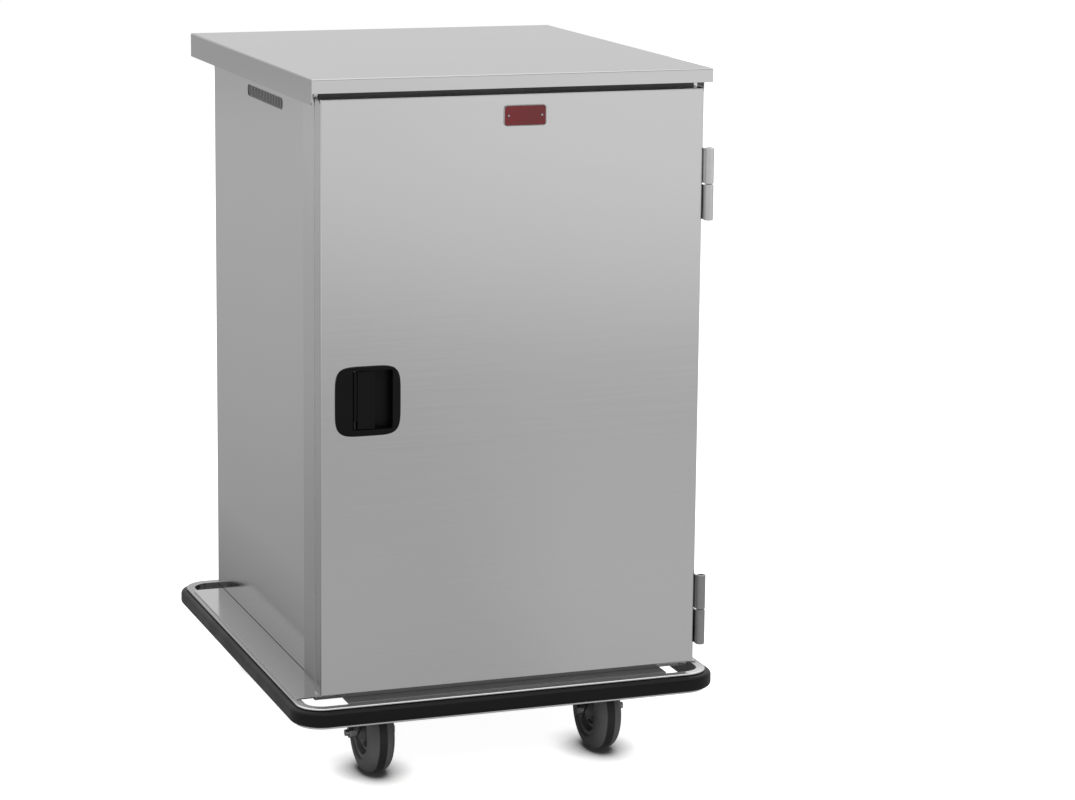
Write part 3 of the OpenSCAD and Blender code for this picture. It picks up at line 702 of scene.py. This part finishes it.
def makeFloor():
    bpy.ops.mesh.primitive_plane_add(size=floorPaint["size"], location=(0, 0, 0))
    floor = bpy.context.object
    floor.name = "studioFloor"
    material, tree = newMaterial("paleStudioFloor")
    rays = addNode(tree, "ShaderNodeLightPath")
    matt = addNode(tree, "ShaderNodeBsdfDiffuse", {"Color": hexColour(floorPaint["colour"])})
    seen = floorForCamera(tree)
    mirrored = floorForMetal(tree)
    shiny = addNode(tree, "ShaderNodeMath",
                    {0: rays.outputs["Is Glossy Ray"], 1: rays.outputs["Is Transmission Ray"]},
                    {"operation": "MAXIMUM"})
    mix = addNode(tree, "ShaderNodeMixShader",
                  {0: rays.outputs["Is Camera Ray"], 1: matt.outputs[0], 2: seen.outputs[0]})
    mix = addNode(tree, "ShaderNodeMixShader",
                  {0: shiny.outputs[0], 1: mix.outputs[0], 2: mirrored.outputs[0]})
    addNode(tree, "ShaderNodeOutputMaterial", {"Surface": mix.outputs[0]})
    floor.data.materials.append(material)


studioSky = {
    "low": -0.1, "high": 0.9, "change": 0.3, "gain": 1.25, "worldLevel": 0.5,
    "front": ((0.0, 0.92), (0.15, 0.92), (0.24, 0.40), (0.32, 0.22), (0.50, 0.22),
              (0.65, 0.9), (0.8, 1.25)),
    "back": ((0.05, 0.50), (0.10, 0.60), (0.18, 0.74), (0.30, 0.67), (0.40, 0.69),
             (0.55, 0.95), (0.8, 1.25)),
}


def makeWorld():
    # white to the camera, a plain light on what is dull, and the walls of the studio to metal
    sky = studioSky
    world = bpy.data.worlds.new("studioWorld")
    bpy.context.scene.world = world
    world.use_nodes = True
    tree = world.node_tree
    tree.nodes.clear()
    rays = addNode(tree, "ShaderNodeLightPath")
    seen = addNode(tree, "ShaderNodeMath",
                   {0: rays.outputs["Is Camera Ray"], 1: rays.outputs["Is Transmission Ray"]},
                   {"operation": "MAXIMUM"})
    ahead = addNode(tree, "ShaderNodeTexCoord").outputs["Generated"]
    parts = addNode(tree, "ShaderNodeSeparateXYZ", {0: ahead})
    height = addNode(tree, "ShaderNodeMapRange",
                     {"Value": parts.outputs["Z"], "From Min": sky["low"],
                      "From Max": sky["high"]})
    walls = frontToBack(tree, height.outputs["Result"], parts.outputs["Y"], sky, sky["gain"])
    plain = addNode(tree, "ShaderNodeBackground",
                    {"Color": grey(1.0), "Strength": sky["worldLevel"]})
    shiny = addNode(tree, "ShaderNodeBackground", {"Color": walls, "Strength": sky["gain"]})
    white = addNode(tree, "ShaderNodeBackground", {"Color": grey(1.0)})
    mix = addNode(tree, "ShaderNodeMixShader",
                  {0: rays.outputs["Is Glossy Ray"], 1: plain.outputs[0], 2: shiny.outputs[0]})
    mix = addNode(tree, "ShaderNodeMixShader",
                  {0: seen.outputs[0], 1: mix.outputs[0], 2: white.outputs[0]})
    addNode(tree, "ShaderNodeOutputWorld", {"Surface": mix.outputs[0]})


lamps = {
    "overFront": {"at": (1.2, -3.6, 4.2), "aim": (0.0, -0.4, 0.9), "size": 3.2, "watts": 90.0},
    "overTop": {"at": (0.0, 0.2, 4.6), "aim": (0.0, 0.0, 1.0), "size": 3.0, "watts": 40.0},
    "leftFill": {"at": (-4.4, -0.4, 2.4), "aim": (-0.3, 0.0, 0.8), "size": 2.6, "watts": 25.0},
}


def makeLamps():
    for name, lamp in lamps.items():
        bpy.ops.object.light_add(type="AREA", location=lamp["at"])
        light = bpy.context.object
        light.name = name
        light.data.size = lamp["size"]
        light.data.energy = lamp["watts"]
        light.visible_glossy = False  # metal shows the walls of the studio, never the lamps
        reach = Vector(lamp["aim"]) - Vector(lamp["at"])
        light.rotation_euler = reach.to_track_quat("-Z", "Y").to_euler()


lens = {
    "at": (-1.8570614, -5.6410356, 1.8852757), "yaw": 0.3480, "pitch": 0.1793, "roll": 0.0102,
    "focalPixels": 3169.309, "centreX": 530.066, "centreY": 303.0, "frame": (1075, 800),
    "sensorWidth": 36.0, "farthest": 60.0,
}


def makeCamera():
    # where the photograph was taken from, with angles in radians and the frame in pixels
    bpy.ops.object.camera_add(location=lens["at"])
    camera = bpy.context.object
    camera.name = "photoCamera"
    wide, high = lens["frame"]
    camera.data.sensor_fit = "HORIZONTAL"
    camera.data.sensor_width = lens["sensorWidth"]
    camera.data.lens = lens["sensorWidth"] * lens["focalPixels"] / wide
    camera.data.shift_x = (wide / 2 - lens["centreX"]) / wide
    camera.data.shift_y = (lens["centreY"] - high / 2) / wide
    camera.data.clip_end = lens["farthest"]
    yaw, pitch, roll = lens["yaw"], lens["pitch"], lens["roll"]
    ahead = Vector((math.sin(yaw) * math.cos(pitch), math.cos(yaw) * math.cos(pitch),
                    -math.sin(pitch)))
    right = Vector((math.cos(yaw), -math.sin(yaw), 0.0))
    up = right.cross(ahead)
    rolledRight = right * math.cos(roll) + up * math.sin(roll)
    rolledUp = up * math.cos(roll) - right * math.sin(roll)
    turn = Matrix((rolledRight, rolledUp, -ahead)).transposed()
    camera.rotation_euler = turn.to_euler()
    bpy.context.scene.camera = camera


bpy.ops.object.select_all(action="DESELECT")
makeFloor()
makeWorld()
makeLamps()
makeCamera()
bpy.context.scene.view_settings.view_transform = "Standard"
print("set the studio")
